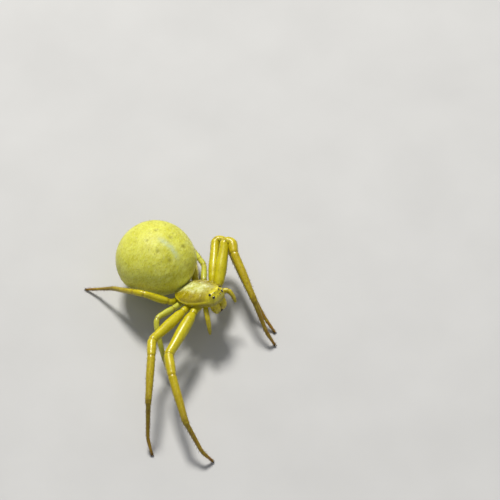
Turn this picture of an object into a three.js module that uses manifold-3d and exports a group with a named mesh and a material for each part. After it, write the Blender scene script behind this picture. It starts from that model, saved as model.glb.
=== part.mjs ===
// A crab spider at life size, standing on the floor with its front legs held forward.
// Millimetres, +Z up. The spider faces -Y, its left side is +X, and the floor is z = 0.

import * as THREE from 'three';
import { mergeVertices } from 'three/addons/utils/BufferGeometryUtils.js';
import Module from 'manifold-3d';

const wasm = await Module();
wasm.setup();

// Driving dimensions, in millimetres and degrees.
const GAP = 0.08;                 // clear gap between two neighbouring parts
const BODY_HEIGHT = 3.2;          // centre of the prosoma above the floor
const BODY_PITCH = 20;            // the front of the prosoma is held higher
const BODY_ROLL = 12;             // and so is its right side
const ABDOMEN_CENTRE = [0.8, 4.41, 3.1];
const ABDOMEN_HALF = [3.04, 3.06, 2.5];
const ABDOMEN_REAR_SWELL = 0.05;  // how much wider the abdomen is behind its middle
const BEND = 0.3;                 // length of a leg that a slight bend takes on each side
const SHARP_BEND = 0.75;          // what a full turn back would add to that
const LEG_BEND_SHARE = 0.49;      // the most of a leg's joint that one bend may take
const TROCHANTER = 0.36;          // length of the short ring between coxa and femur
const EYE_SOCKET_GAP = 0.05;
const SOCKET_REACH = 1.2;         // how far out along a leg the body is kept clear of it

const LEG_SIDES = 12;
const STEP = 0.42;                // longest step along a leg

const YELLOW = { color: 0xd8c81c, roughness: 0.35, metalness: 0 };
const GREEN_YELLOW = { color: 0xc9c832, roughness: 0.6, metalness: 0 };
const EYE_BLACK = { color: 0x16100a, roughness: 0.15, metalness: 0 };

// Where each pair of legs leaves the body: forward, sideways, up from the prosoma's centre.
const COXA = {
  1: { forward: 0.65, side: 1.35, up: -0.45 },
  2: { forward: -0.05, side: 1.6, up: -0.45 },
  3: { forward: -0.9, side: 1.6, up: -0.45 },
  4: { forward: -1.5, side: 1.35, up: -0.45 },
};
const COXA_INNER_SIDE = 0.6;

// Diameters at the coxa, trochanter, femur's middle and end, patella, tibia's start and end,
// metatarsus' start and end, tarsus' end, for each pair.
const GIRTH = {
  1: { coxa: 0.5, trochanter: 0.56, femur: 0.9, knee: 0.72, patella: 0.74,
       tibia: 0.63, ankle: 0.52, metatarsus: 0.42, tarsus: 0.36, tip: 0.22 },
  2: { coxa: 0.5, trochanter: 0.56, femur: 0.82, knee: 0.68, patella: 0.68,
       tibia: 0.6, ankle: 0.5, metatarsus: 0.42, tarsus: 0.36, tip: 0.22 },
  3: { coxa: 0.46, trochanter: 0.45, femur: 0.52, knee: 0.48, patella: 0.46,
       tibia: 0.46, ankle: 0.4, metatarsus: 0.36, tarsus: 0.32, tip: 0.2 },
  4: { coxa: 0.46, trochanter: 0.47, femur: 0.62, knee: 0.5, patella: 0.5,
       tibia: 0.46, ankle: 0.4, metatarsus: 0.36, tarsus: 0.32, tip: 0.2 },
};

// Length of femur, patella, tibia, metatarsus and tarsus of each leg.
// Heading of each, from straight ahead towards the spider's left, and slope above the floor.
// The last slope isn't stated: the tarsus comes down to the floor.
// An elbow is a first, short stretch of the patella where the leg folds back sharply.
const LEGS = {
  leg_1_right: {
    pair: 1, side: -1, length: [4.5, 1.8, 3.7, 2.55, 1.4],
    heading: [-80, -46, -39, -19, 21], slope: [2, -3, -12, -36],
  },
  leg_2_right: {
    pair: 2, side: -1, length: [4.1, 1.4, 3.5, 2.8, 1.45],
    heading: [-92, -56, -58, -57, -36], slope: [10, 0, -12, -49],
  },
  leg_3_right: {
    pair: 3, side: -1, length: [2.0, 0.95, 2.0, 1.45, 1.0],
    heading: [-105, -49, -38, -31, -26], slope: [9, -22, -35, -41],
  },
  leg_4_right: {
    pair: 4, side: -1, length: [2.35, 0.9, 2.5, 1.9, 1.1],
    heading: [-150, -171, 174, -173, -165], slope: [23, -20, -36, -37],
  },
  leg_1_left: {
    pair: 1, side: 1, length: [4.0, 1.0, 3.95, 2.65, 1.4],
    heading: [117, -46, -33, -27, -2], slope: [14, -4, -12, -41], elbow: [0.55, 28, 2],
  },
  leg_2_left: {
    pair: 2, side: 1, length: [4.0, 1.05, 3.6, 2.4, 1.35],
    heading: [122, -16, -32, -20, -12], slope: [6, -16, -10, -31], elbow: [0.55, 40, 0],
  },
  leg_3_left: {
    pair: 3, side: 1, length: [1.9, 0.75, 2.0, 1.7, 1.1],
    heading: [124, 151, 150, 149, 152], slope: [-7, -15, -19, -22],
  },
  leg_4_left: {
    pair: 4, side: 1, length: [2.85, 0.8, 1.8, 1.65, 1.0],
    heading: [128, 169, 167, 167, 163], slope: [-20, -7, -9, -12],
  },
};

// The prosoma from its rear to its front: place, half width, top and bottom.
const PROSOMA_STATIONS = [
  [-1.72, 0.5, 0.02, -0.4],
  [-1.55, 0.85, 0.12, -0.5],
  [-1.15, 1.2, 0.32, -0.62],
  [-0.6, 1.42, 0.48, -0.7],
  [0.0, 1.48, 0.58, -0.7],
  [0.55, 1.4, 0.66, -0.66],
  [1.05, 1.22, 0.74, -0.56],
  [1.5, 1.0, 0.8, -0.5],
  [1.85, 0.82, 0.74, -0.4],
  [2.02, 0.64, 0.5, -0.26],
];
const PROSOMA_SIDES = 30;
const PROSOMA_SLICES = 16;

// Eyes: forward, side and up from the prosoma's centre, and radius.
const EYES = [
  { name: 'eye_front_middle', forward: 2.02, side: 0.18, up: 0.5, radius: 0.075 },
  { name: 'eye_front_outer', forward: 1.95, side: 0.47, up: 0.54, radius: 0.12 },
  { name: 'eye_rear_middle', forward: 1.86, side: 0.26, up: 0.78, radius: 0.07 },
  { name: 'eye_rear_outer', forward: 1.72, side: 0.58, up: 0.76, radius: 0.1 },
];

// Palps: length, heading and slope of each of their joints, then the girths along them.
const PALPS = {
  palp_right: { side: -1, steps: [[0.5, -41, -18], [0.45, -42, -26], [0.55, -43, -36], [0.5, -43, -58]] },
  palp_left: { side: 1, steps: [[0.48, 98, 32], [0.42, 34, 10], [0.56, -8, -26], [0.52, -31, -36]] },
};
const PALP_BASE = { forward: 1.3, side: 0.88, up: -0.45 };
const PALP_SIDES = 10;
const PALP_GIRTH = [0.34, 0.36, 0.36, 0.32, 0.2];

const CHELICERA = {
  top: { forward: 1.6, side: 0.36, up: 0.02 },
  middle: { forward: 1.88, side: 0.36, up: -0.44 },
  end: { forward: 1.94, side: 0.31, up: -0.98 },
  girth: [0.6, 0.68, 0.44],
};
const FANG = {
  root: { forward: 1.94, side: 0.29, up: -0.8 },
  tip: { forward: 1.76, side: 0.1, up: -1.18 },
  girth: [0.26, 0.12],
};

const SPINNERETS = { ring: 0.2, girth: [0.34, 0.2], length: 0.3 };

const rad = THREE.MathUtils.degToRad;
const xyz = (p) => new THREE.Vector3(p[0], p[1], p[2]);

// A point given forward, sideways (to the spider's left) and up from the prosoma's centre.
function bodyPoint(forward, side, up) {
  const point = new THREE.Vector3(side, -forward, up);
  point.applyAxisAngle(new THREE.Vector3(0, 1, 0), rad(BODY_ROLL));
  point.applyAxisAngle(new THREE.Vector3(1, 0, 0), rad(-BODY_PITCH));
  return point.add(new THREE.Vector3(0, 0, BODY_HEIGHT));
}

// A unit direction from a heading and a slope in degrees.
function direction(heading, slope) {
  const flat = Math.cos(rad(slope));
  return new THREE.Vector3(
    Math.sin(rad(heading)) * flat,
    -Math.cos(rad(heading)) * flat,
    Math.sin(rad(slope)),
  );
}

// The corners of a chain of joints, rounded so that it bends smoothly. A bend takes at most
// the given share of the lengths beside it.
function roundedLine(corners, share = 0.45) {
  const line = new THREE.CurvePath();
  let from = corners[0];
  for (let i = 1; i < corners.length - 1; i += 1) {
    const before = corners[i].distanceTo(corners[i - 1]);
    const after = corners[i].distanceTo(corners[i + 1]);
    const inward = corners[i].clone().sub(corners[i - 1]).normalize();
    const outward = corners[i + 1].clone().sub(corners[i]).normalize();
    const turn = (1 - inward.dot(outward)) / 2;
    const trim = Math.min(BEND + SHARP_BEND * turn, before * share, after * share);
    const into = corners[i].clone().lerp(corners[i - 1], trim / before);
    const out = corners[i].clone().lerp(corners[i + 1], trim / after);
    line.add(new THREE.LineCurve3(from, into));
    line.add(new THREE.QuadraticBezierCurve3(into, corners[i], out));
    from = out;
  }
  line.add(new THREE.LineCurve3(from, corners[corners.length - 1]));
  return line;
}

// The lengths along a rounded line at which its corners lie.
function cornerLengths(line) {
  const lengths = [0];
  let sum = 0;
  line.curves.forEach((curve) => {
    const own = curve.getLength();
    if (curve.isQuadraticBezierCurve3) {
      lengths.push(sum + own / 2);
    }
    sum += own;
  });
  lengths.push(sum);
  return lengths;
}

// The girth at a length along a line, from a list of [length, girth] in order.
function girthAt(profile, s) {
  let i = 1;
  while (i < profile.length - 1 && profile[i][0] < s) {
    i += 1;
  }
  const [s0, g0] = profile[i - 1];
  const [s1, g1] = profile[i];
  const t = THREE.MathUtils.clamp((s - s0) / (s1 - s0), 0, 1);
  return THREE.MathUtils.lerp(g0, g1, t * t * (3 - 2 * t));
}

// A closed skin over rings of points that all have the same count, with a fan at each end.
function skinOverRings(rings) {
  const sides = rings[0].length;
  const positions = [];
  rings.forEach((ring) => ring.forEach((p) => positions.push(p.x, p.y, p.z)));
  const index = [];
  for (let r = 0; r < rings.length - 1; r += 1) {
    for (let k = 0; k < sides; k += 1) {
      const a = r * sides + k;
      const b = r * sides + ((k + 1) % sides);
      index.push(a, b, a + sides, b, b + sides, a + sides);
    }
  }
  [0, rings.length - 1].forEach((r) => {
    const middle = new THREE.Vector3();
    rings[r].forEach((p) => middle.add(p));
    middle.divideScalar(sides);
    const centre = positions.length / 3;
    positions.push(middle.x, middle.y, middle.z);
    for (let k = 0; k < sides; k += 1) {
      const a = r * sides + k;
      const b = r * sides + ((k + 1) % sides);
      if (r === 0) {
        index.push(centre, b, a);
      } else {
        index.push(centre, a, b);
      }
    }
  });
  const geometry = new THREE.BufferGeometry();
  geometry.setAttribute('position', new THREE.Float32BufferAttribute(positions, 3));
  geometry.setIndex(index);
  return geometry;
}

// A round tube along part of a line, with flat ends square to the line.
function tubeAlong(line, from, to, profile, sides, extra = 0) {
  const total = line.getLength();
  const rings = [];
  const count = Math.max(2, Math.ceil((to - from) / STEP));
  let across = null;
  for (let i = 0; i <= count; i += 1) {
    const s = from + ((to - from) * i) / count;
    const u = THREE.MathUtils.clamp(s / total, 0, 1);
    const centre = line.getPointAt(u);
    const along = line.getTangentAt(u);
    if (across === null) {
      across = new THREE.Vector3(0, 0, 1).cross(along).normalize();
    }
    across = across.clone().addScaledVector(along, -across.dot(along)).normalize();
    const other = along.clone().cross(across);
    const radius = girthAt(profile, s) / 2 + extra;
    const ring = [];
    for (let k = 0; k < sides; k += 1) {
      const angle = (2 * Math.PI * k) / sides;
      ring.push(centre.clone()
        .addScaledVector(across, radius * Math.cos(angle))
        .addScaledVector(other, radius * Math.sin(angle)));
    }
    rings.push(ring);
  }
  return skinOverRings(rings);
}

// A closed geometry as a solid that can be joined and cut.
function solidOf(geometry) {
  const bare = geometry.clone();
  bare.deleteAttribute('normal');
  bare.deleteAttribute('uv');
  const merged = mergeVertices(bare, 1e-5);
  const mesh = new wasm.Mesh({
    numProp: 3,
    vertProperties: new Float32Array(merged.attributes.position.array),
    triVerts: new Uint32Array(merged.index.array),
  });
  return new wasm.Manifold(mesh);
}

// The largest closed surface of a solid, as a geometry.
function geometryOf(solid) {
  const pieces = solid.decompose();
  let largest = pieces[0];
  pieces.forEach((piece) => {
    if (piece.volume() > largest.volume()) {
      largest = piece;
    }
  });
  const mesh = largest.getMesh();
  const geometry = new THREE.BufferGeometry();
  geometry.setAttribute('position', new THREE.Float32BufferAttribute(mesh.vertProperties, 3));
  geometry.setIndex(Array.from(mesh.triVerts));
  return geometry;
}

const spider = new THREE.Group();

function addPart(name, geometry, look) {
  const mesh = new THREE.Mesh(geometry, new THREE.MeshStandardMaterial(look));
  mesh.name = name;
  geometry.computeVertexNormals();
  spider.add(mesh);
}

// The corners of one leg, from inside the body to the tip of its claws on the floor.
function legCorners(leg) {
  const coxa = COXA[leg.pair];
  const corners = [
    bodyPoint(coxa.forward, leg.side * COXA_INNER_SIDE, coxa.up),
    bodyPoint(coxa.forward, leg.side * coxa.side, coxa.up),
  ];
  leg.length.forEach((length, i) => {
    const from = corners[corners.length - 1];
    const slope = i < 4 ? leg.slope[i] : -THREE.MathUtils.radToDeg(Math.asin(from.z / length));
    corners.push(from.clone().addScaledVector(direction(leg.heading[i], slope), length));
    if (i === 0 && leg.elbow) {
      const [reach, heading, rise] = leg.elbow;
      corners.push(corners[2].clone().addScaledVector(direction(heading, rise), reach));
    }
  });
  return corners;
}

// How thick a leg is along its line.
function legProfile(at, girth) {
  const [, base, knee, kneeEnd, ankle, toe, tip] = at;
  return [
    [0, girth.coxa],
    [base + TROCHANTER, girth.trochanter],
    [base + (knee - base) * 0.22, girth.femur * 0.92],
    [base + (knee - base) * 0.42, girth.femur],
    [knee - 0.2, girth.knee],
    [(knee + kneeEnd) / 2, girth.patella],
    [kneeEnd, girth.tibia],
    [kneeEnd + (ankle - kneeEnd) * 0.3, girth.tibia],
    [ankle, girth.ankle],
    [ankle + 0.4, girth.metatarsus],
    [toe, girth.tarsus],
    [tip, girth.tip],
  ];
}

// A block that fills everything under the floor.
function belowFloor() {
  const box = new THREE.BoxGeometry(60, 60, 4);
  box.translate(0, 0, -2);
  return solidOf(box);
}

const floorBlock = belowFloor();
const sockets = [];

function buildLeg(name, leg) {
  const line = roundedLine(legCorners(leg), LEG_BEND_SHARE);
  line.arcLengthDivisions = 400;
  const at = cornerLengths(line);
  if (leg.elbow) {
    at.splice(3, 1);
  }
  const profile = legProfile(at, GIRTH[leg.pair]);
  const joints = [
    ['coxa', GAP, at[1] + TROCHANTER],
    ['femur', at[1] + TROCHANTER, at[2]],
    ['patella', at[2], at[3]],
    ['tibia', at[3], at[4]],
    ['foot', at[4], at[6]],
  ];
  joints.forEach(([part, from, to]) => {
    const start = part === 'coxa' ? from : from + GAP / 2;
    const end = part === 'foot' ? to : to - GAP / 2;
    let geometry = tubeAlong(line, start, end, profile, LEG_SIDES);
    if (part === 'foot') {
      geometry = geometryOf(solidOf(geometry).subtract(floorBlock));
    }
    addPart(`${name}_${part}`, geometry, YELLOW);
  });
  sockets.push(solidOf(tubeAlong(line, 0, at[1] + SOCKET_REACH, profile, LEG_SIDES, GAP)));
}

// The abdomen as a round, slightly flattened bag, a little wider behind its middle.
function abdomenGeometry(grow, around, rows) {
  const geometry = new THREE.SphereGeometry(1, around, rows);
  geometry.rotateX(Math.PI / 2);
  const position = geometry.attributes.position;
  for (let i = 0; i < position.count; i += 1) {
    const y = position.getY(i);
    const swell = 1 + ABDOMEN_REAR_SWELL * y;
    position.setXYZ(
      i,
      position.getX(i) * swell * (ABDOMEN_HALF[0] + grow) + ABDOMEN_CENTRE[0],
      y * (ABDOMEN_HALF[1] + grow) + ABDOMEN_CENTRE[1],
      position.getZ(i) * swell * (ABDOMEN_HALF[2] + grow) + ABDOMEN_CENTRE[2],
    );
  }
  return geometry;
}

// A value between the prosoma's stations, by a smooth curve through them.
function prosomaRow(forward) {
  const rows = PROSOMA_STATIONS;
  let i = 1;
  while (i < rows.length - 1 && rows[i][0] < forward) {
    i += 1;
  }
  const t = (forward - rows[i - 1][0]) / (rows[i][0] - rows[i - 1][0]);
  return rows[i].map((value, k) => {
    const before = rows[Math.max(i - 2, 0)][k];
    const after = rows[Math.min(i + 1, rows.length - 1)][k];
    const a = rows[i - 1][k];
    const slopeA = (value - before) / 2;
    const slopeB = (after - a) / 2;
    const t2 = t * t;
    const t3 = t2 * t;
    return (2 * t3 - 3 * t2 + 1) * a + (t3 - 2 * t2 + t) * slopeA
      + (3 * t2 - 2 * t3) * value + (t3 - t2) * slopeB;
  });
}

function prosomaGeometry() {
  const first = PROSOMA_STATIONS[0][0];
  const last = PROSOMA_STATIONS[PROSOMA_STATIONS.length - 1][0];
  const rings = [];
  for (let r = 0; r <= PROSOMA_SLICES; r += 1) {
    const share = (1 - Math.cos((Math.PI * r) / PROSOMA_SLICES)) / 2;
    const forward = first + (last - first) * share;
    const [, half, top, bottom] = prosomaRow(forward);
    const ring = [];
    for (let k = 0; k < PROSOMA_SIDES; k += 1) {
      const angle = (2 * Math.PI * k) / PROSOMA_SIDES;
      const c = Math.cos(angle);
      const s = Math.sin(angle);
      const side = half * Math.sign(c) * Math.abs(c) ** (s > 0 ? 0.85 : 1.25);
      const up = s > 0 ? top * s ** 0.8 : bottom * (-s) ** 0.9;
      ring.push(bodyPoint(forward, side, up));
    }
    rings.push(ring);
  }
  return skinOverRings(rings);
}

function tubeThrough(points, girths, sides, start = 0, extra = 0) {
  const line = roundedLine(points);
  const at = cornerLengths(line);
  const profile = at.map((s, i) => [s, girths[i]]);
  return tubeAlong(line, start, at[at.length - 1], profile, sides, extra);
}

function palpPoints(palp) {
  const root = bodyPoint(PALP_BASE.forward - 0.2, palp.side * (PALP_BASE.side - 0.34), PALP_BASE.up);
  const points = [root, bodyPoint(PALP_BASE.forward, palp.side * PALP_BASE.side, PALP_BASE.up)];
  palp.steps.forEach(([length, heading, slope]) => {
    const from = points[points.length - 1];
    points.push(from.clone().addScaledVector(direction(heading, slope), length));
  });
  return points;
}

function palpGeometry(palp, start, extra) {
  return tubeThrough(palpPoints(palp), [PALP_GIRTH[0], ...PALP_GIRTH], PALP_SIDES, start, extra);
}

function cheliceraGeometry(side, start, extra) {
  const place = (p) => bodyPoint(p.forward, side * p.side, p.up);
  return tubeThrough([CHELICERA.top, CHELICERA.middle, CHELICERA.end].map(place),
    CHELICERA.girth, LEG_SIDES, start, extra);
}

function fangGeometry(side) {
  const place = (p) => bodyPoint(p.forward, side * p.side, p.up);
  const root = place(FANG.root);
  const tip = place(FANG.tip);
  const middle = root.clone().lerp(tip, 0.5).add(new THREE.Vector3(0, -0.04, -0.02));
  return tubeThrough([root, middle, tip], [FANG.girth[0], 0.2, FANG.girth[1]], 8);
}

function eyeGeometry(eye, side, radius) {
  const geometry = new THREE.SphereGeometry(radius, 12, 8);
  const centre = bodyPoint(eye.forward, side * eye.side, eye.up);
  geometry.translate(centre.x, centre.y, centre.z);
  return geometry;
}

function spinneretGeometry() {
  const rear = xyz(ABDOMEN_CENTRE).add(new THREE.Vector3(0, ABDOMEN_HALF[1] * 0.93, -ABDOMEN_HALF[2] * 0.45));
  const outward = new THREE.Vector3(0, 0.93, -0.36).normalize();
  let all = null;
  for (let k = 0; k < 6; k += 1) {
    const angle = (Math.PI * (2 * k + 1)) / 6;
    const offset = new THREE.Vector3(
      SPINNERETS.ring * Math.cos(angle), 0, SPINNERETS.ring * Math.sin(angle));
    const root = rear.clone().addScaledVector(offset, 0.7).addScaledVector(outward, -0.4);
    const end = rear.clone().add(offset).addScaledVector(outward, SPINNERETS.length);
    const middle = root.clone().lerp(end, 0.5);
    const cone = solidOf(tubeThrough([root, middle, end],
      [SPINNERETS.girth[0], SPINNERETS.girth[0], SPINNERETS.girth[1]], 8));
    all = all === null ? cone : all.add(cone);
  }
  return geometryOf(all.subtract(solidOf(abdomenGeometry(GAP, 40, 24))));
}

Object.entries(LEGS).forEach(([name, leg]) => buildLeg(name, leg));

addPart('abdomen', abdomenGeometry(0, 44, 24), GREEN_YELLOW);
addPart('spinnerets', spinneretGeometry(), GREEN_YELLOW);

let prosoma = solidOf(prosomaGeometry());
const keepAbdomen = solidOf(abdomenGeometry(GAP, 44, 24));
prosoma = prosoma.subtract(keepAbdomen);

[['left', 1], ['right', -1]].forEach(([word, side]) => {
  addPart(`chelicera_${word}`, geometryOf(solidOf(cheliceraGeometry(side, GAP, 0)).add(solidOf(fangGeometry(side)))), YELLOW);
  sockets.push(solidOf(cheliceraGeometry(side, 0, GAP)));
  const palp = PALPS[`palp_${word}`];
  addPart(`palp_${word}`, palpGeometry(palp, GAP, 0), YELLOW);
  sockets.push(solidOf(palpGeometry(palp, 0, GAP)));
  EYES.forEach((eye) => {
    addPart(`${eye.name}_${word}`, eyeGeometry(eye, side, eye.radius), EYE_BLACK);
    sockets.push(solidOf(eyeGeometry(eye, side, eye.radius + EYE_SOCKET_GAP)));
  });
});

sockets.forEach((socket) => {
  prosoma = prosoma.subtract(socket);
});
addPart('prosoma', geometryOf(prosoma), YELLOW);

// The origin is on the floor, under the middle of the whole spider.
const box = new THREE.Box3().setFromObject(spider);
const middle = box.getCenter(new THREE.Vector3());
spider.position.set(-middle.x, -middle.y, 0);

export default spider;
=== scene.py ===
"""A yellow crab spider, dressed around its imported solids: one skin, eyes, claws, bristles and hairs.

Shapes are worked out in millimetres in the spider's own frame and become metres when a mesh is
made. The spider faces -Y, its left side is +X, and the floor is z = 0.
"""
import math
import random

import bmesh
import bpy
import numpy as np
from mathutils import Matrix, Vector, kdtree, noise


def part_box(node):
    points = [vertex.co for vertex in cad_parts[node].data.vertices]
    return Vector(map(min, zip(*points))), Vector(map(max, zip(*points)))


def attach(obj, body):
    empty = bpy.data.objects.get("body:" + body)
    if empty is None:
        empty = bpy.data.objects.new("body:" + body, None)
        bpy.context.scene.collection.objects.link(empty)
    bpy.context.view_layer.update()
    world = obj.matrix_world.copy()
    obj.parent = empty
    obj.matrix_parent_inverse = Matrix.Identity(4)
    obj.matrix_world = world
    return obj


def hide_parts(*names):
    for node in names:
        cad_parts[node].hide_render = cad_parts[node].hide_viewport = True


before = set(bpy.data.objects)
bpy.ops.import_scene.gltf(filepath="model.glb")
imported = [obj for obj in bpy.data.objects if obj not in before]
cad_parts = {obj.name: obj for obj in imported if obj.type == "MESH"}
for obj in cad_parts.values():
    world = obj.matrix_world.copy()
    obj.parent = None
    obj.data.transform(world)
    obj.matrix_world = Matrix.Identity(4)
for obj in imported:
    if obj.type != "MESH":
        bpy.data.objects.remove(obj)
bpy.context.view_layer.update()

MM = 0.001

# Sizes of the solids, repeated here because the skin follows them.
BODY_HEIGHT = 3.2
BODY_PITCH = 20
BODY_ROLL = 12
ABDOMEN_CENTRE = np.array([0.8, 4.41, 3.1])
ABDOMEN_HALF = np.array([3.04, 3.06, 2.5])
ABDOMEN_REAR_SWELL = 0.05
BEND = 0.3
SHARP_BEND = 0.75
BEND_SHARE = 0.45
LEG_BEND_SHARE = 0.49
TROCHANTER = 0.36
COXA_INNER_SIDE = 0.6

# Places on the prosoma are given forward, to the side and up from its centre.
COXA = {1: (0.65, 1.35, -0.45), 2: (-0.05, 1.6, -0.45), 3: (-0.9, 1.6, -0.45), 4: (-1.5, 1.35, -0.45)}

# Diameters along a leg of each pair, as the living skin has them.
GIRTH_PLACES = ("coxa", "trochanter", "femur", "knee", "patella",
                "tibia", "ankle", "metatarsus", "tarsus", "tip")
GIRTH = {
    1: (0.56, 0.58, 0.9, 0.72, 0.74, 0.63, 0.5, 0.37, 0.29, 0.18),
    2: (0.54, 0.56, 0.8, 0.67, 0.68, 0.6, 0.48, 0.35, 0.26, 0.17),
    3: (0.46, 0.43, 0.49, 0.42, 0.42, 0.42, 0.34, 0.27, 0.21, 0.14),
    4: (0.46, 0.46, 0.59, 0.48, 0.48, 0.41, 0.34, 0.28, 0.21, 0.14),
}

# Length of femur, patella, tibia, metatarsus and tarsus, then heading from straight ahead
# towards the spider's left, then slope above the floor. The tarsus comes down to the floor.
# An elbow is a first, short stretch of the patella where the leg folds back sharply.
LEGS = {
    "leg_1_right": dict(pair=1, side=-1, length=(4.5, 1.8, 3.7, 2.55, 1.4),
                        heading=(-80, -46, -39, -19, 21), slope=(2, -3, -12, -36)),
    "leg_2_right": dict(pair=2, side=-1, length=(4.1, 1.4, 3.5, 2.8, 1.45),
                        heading=(-92, -56, -58, -57, -36), slope=(10, 0, -12, -49)),
    "leg_3_right": dict(pair=3, side=-1, length=(2.0, 0.95, 2.0, 1.45, 1.0),
                        heading=(-105, -49, -38, -31, -26), slope=(9, -22, -35, -41)),
    "leg_4_right": dict(pair=4, side=-1, length=(2.35, 0.9, 2.5, 1.9, 1.1),
                        heading=(-150, -171, 174, -173, -165), slope=(23, -20, -36, -37)),
    "leg_1_left": dict(pair=1, side=1, length=(4.0, 1.0, 3.95, 2.65, 1.4),
                       heading=(117, -46, -33, -27, -2), slope=(14, -4, -12, -41), elbow=(0.55, 28, 2)),
    "leg_2_left": dict(pair=2, side=1, length=(4.0, 1.05, 3.6, 2.4, 1.35),
                       heading=(122, -16, -32, -20, -12), slope=(6, -16, -10, -31), elbow=(0.55, 40, 0)),
    "leg_3_left": dict(pair=3, side=1, length=(1.9, 0.75, 2.0, 1.7, 1.1),
                       heading=(124, 151, 150, 149, 152), slope=(-7, -15, -19, -22)),
    "leg_4_left": dict(pair=4, side=1, length=(2.85, 0.8, 1.8, 1.65, 1.0),
                       heading=(128, 169, 167, 167, 163), slope=(-20, -7, -9, -12)),
}

# The prosoma from its rear to its front: place, half width, top and bottom.
PROSOMA_STATIONS = np.array([
    (-1.72, 0.5, 0.02, -0.4),
    (-1.55, 0.85, 0.12, -0.5),
    (-1.15, 1.2, 0.32, -0.62),
    (-0.6, 1.42, 0.48, -0.7),
    (0.0, 1.48, 0.58, -0.7),
    (0.55, 1.4, 0.66, -0.66),
    (1.05, 1.22, 0.74, -0.56),
    (1.5, 1.0, 0.8, -0.5),
    (1.85, 0.82, 0.74, -0.4),
    (2.02, 0.64, 0.5, -0.26),
])

# Eyes: a place, then a radius.
EYES = {
    "eye_front_middle": ((2.02, 0.18, 0.5), 0.075),
    "eye_front_outer": ((1.95, 0.47, 0.54), 0.12),
    "eye_rear_middle": ((1.86, 0.26, 0.78), 0.07),
    "eye_rear_outer": ((1.72, 0.58, 0.76), 0.1),
}

# Palps: length, heading and slope of each of their joints.
PALPS = {
    "palp_right": dict(side=-1, steps=((0.5, -41, -18), (0.45, -42, -26),
                                       (0.55, -43, -36), (0.5, -43, -58))),
    "palp_left": dict(side=1, steps=((0.48, 98, 32), (0.42, 34, 10),
                                     (0.56, -8, -26), (0.52, -31, -36))),
}
PALP_INNER = (1.1, 0.54, -0.45)
PALP_BASE = (1.3, 0.88, -0.45)
PALP_GIRTH = (0.36, 0.38, 0.4, 0.38, 0.32, 0.2)

CHELICERA = ((1.6, 0.36, 0.02), (1.88, 0.36, -0.44), (1.94, 0.31, -0.98))
CHELICERA_GIRTH = (0.68, 0.76, 0.48)
FANG = ((1.94, 0.29, -0.8), (1.76, 0.1, -1.18))
PEDICEL_GIRTH = (0.6, 0.5, 0.5)
SPINNERETS = dict(count=6, ring=0.2, girth=(0.34, 0.34, 0.2), length=0.3)

# How finely the skin is drawn: points in a bend, rings along and sides around, steps in mm.
BEND_STEPS = 24
TANGENT_REACH = 0.04
PROSOMA_RINGS, PROSOMA_SIDES = 110, 132
ABDOMEN_RINGS, ABDOMEN_SIDES = 170, 240
LEG_SIDES, LEG_STEP = 26, 0.065
PALP_SIDES, CHELICERA_SIDES, SPINNERET_SIDES, MOUTH_STEP = 20, 28, 16, 0.04
PEDICEL_SIDES, PEDICEL_STEP = 20, 0.05

TIP_INSET = 0.1          # the claws reach this much further than the skin of a foot
ABDOMEN_INSET = 0.03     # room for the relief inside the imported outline
CLEAR_OF_FLOOR = 0.004   # no hair comes lower than this
PATCH = 0.003            # how wide a hair's place on the coat's map is

# How many hairs are tried
LEG_HAIRS = dict(front=420, rear=240)
TUFT_HAIRS, ABDOMEN_HAIRS, PROSOMA_HAIRS, MOUTH_HAIRS = 46, 900, 260, 110

# Camera: the photograph's framing, in millimetres and pixels of a 500 pixel frame.
CAMERA_AZIMUTH = -55
CAMERA_ELEVATION = 55
CAMERA_DISTANCE = 320.0
PIXELS_PER_MM = 13.5
FRAME_PIXELS = 500
PROSOMA_PIXEL = (198.5, 293.5)
SENSOR_WIDTH = 36

# Light: sizes in metres, powers in watts.
KEY_LIGHT = dict(size=0.08, power=1.6, colour=(1.0, 0.98, 0.93))
FILL_LIGHT = dict(size=0.3, power=0.1, colour=(0.95, 0.97, 1.0))
SKY = dict(colour=(0.9, 0.93, 1.0, 1), strength=0.31)
FLOOR_HALF = 400

rng = random.Random(11)


def rad(degrees):
    return math.radians(degrees)


def vary(low, spread):
    """A random value from low up to low plus spread."""
    return low + spread * rng.random()


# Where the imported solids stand: the spider's own frame moved by this much, in millimetres.
abdomen_low, abdomen_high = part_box("abdomen")
SHIFT = np.array([
    (abdomen_low[0] + abdomen_high[0]) / 2 / MM - ABDOMEN_CENTRE[0],
    (abdomen_low[1] + abdomen_high[1]) / 2 / MM - ABDOMEN_CENTRE[1],
    0.0,
])


def body_axes():
    """Forward, left and up of the prosoma, which is pitched up and rolled over to its left."""
    pitch, roll = rad(BODY_PITCH), rad(BODY_ROLL)
    ahead = np.array([0, -math.cos(pitch), math.sin(pitch)])
    upright = np.array([0, math.sin(pitch), math.cos(pitch)])
    level = np.array([1.0, 0, 0])
    left = level * math.cos(roll) - upright * math.sin(roll)
    return ahead, left, upright * math.cos(roll) + level * math.sin(roll)


AHEAD, LEFT, UPWARD = body_axes()


def body_point(forward, side, up):
    """A point, or an array of them, forward, to the left and up from the prosoma's centre."""
    forward, side, up = (np.asarray(v, float)[..., None] for v in (forward, side, up))
    return np.array([0, 0, BODY_HEIGHT]) + forward * AHEAD + side * LEFT + up * UPWARD


def direction(heading, slope):
    """A unit direction from a heading and a slope in degrees."""
    turn, rise = rad(heading), rad(slope)
    return np.array([math.sin(turn) * math.cos(rise), -math.cos(turn) * math.cos(rise), math.sin(rise)])


def placed(place, side):
    """A place of the prosoma, on its left for side 1 and on its right for side -1."""
    forward, out, up = place
    return body_point(forward, side * out, up)


def unit(v):
    return v / np.linalg.norm(v)


def around(count):
    """Even angles all the way round."""
    return np.linspace(0, 2 * math.pi, count, endpoint=False)


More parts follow.
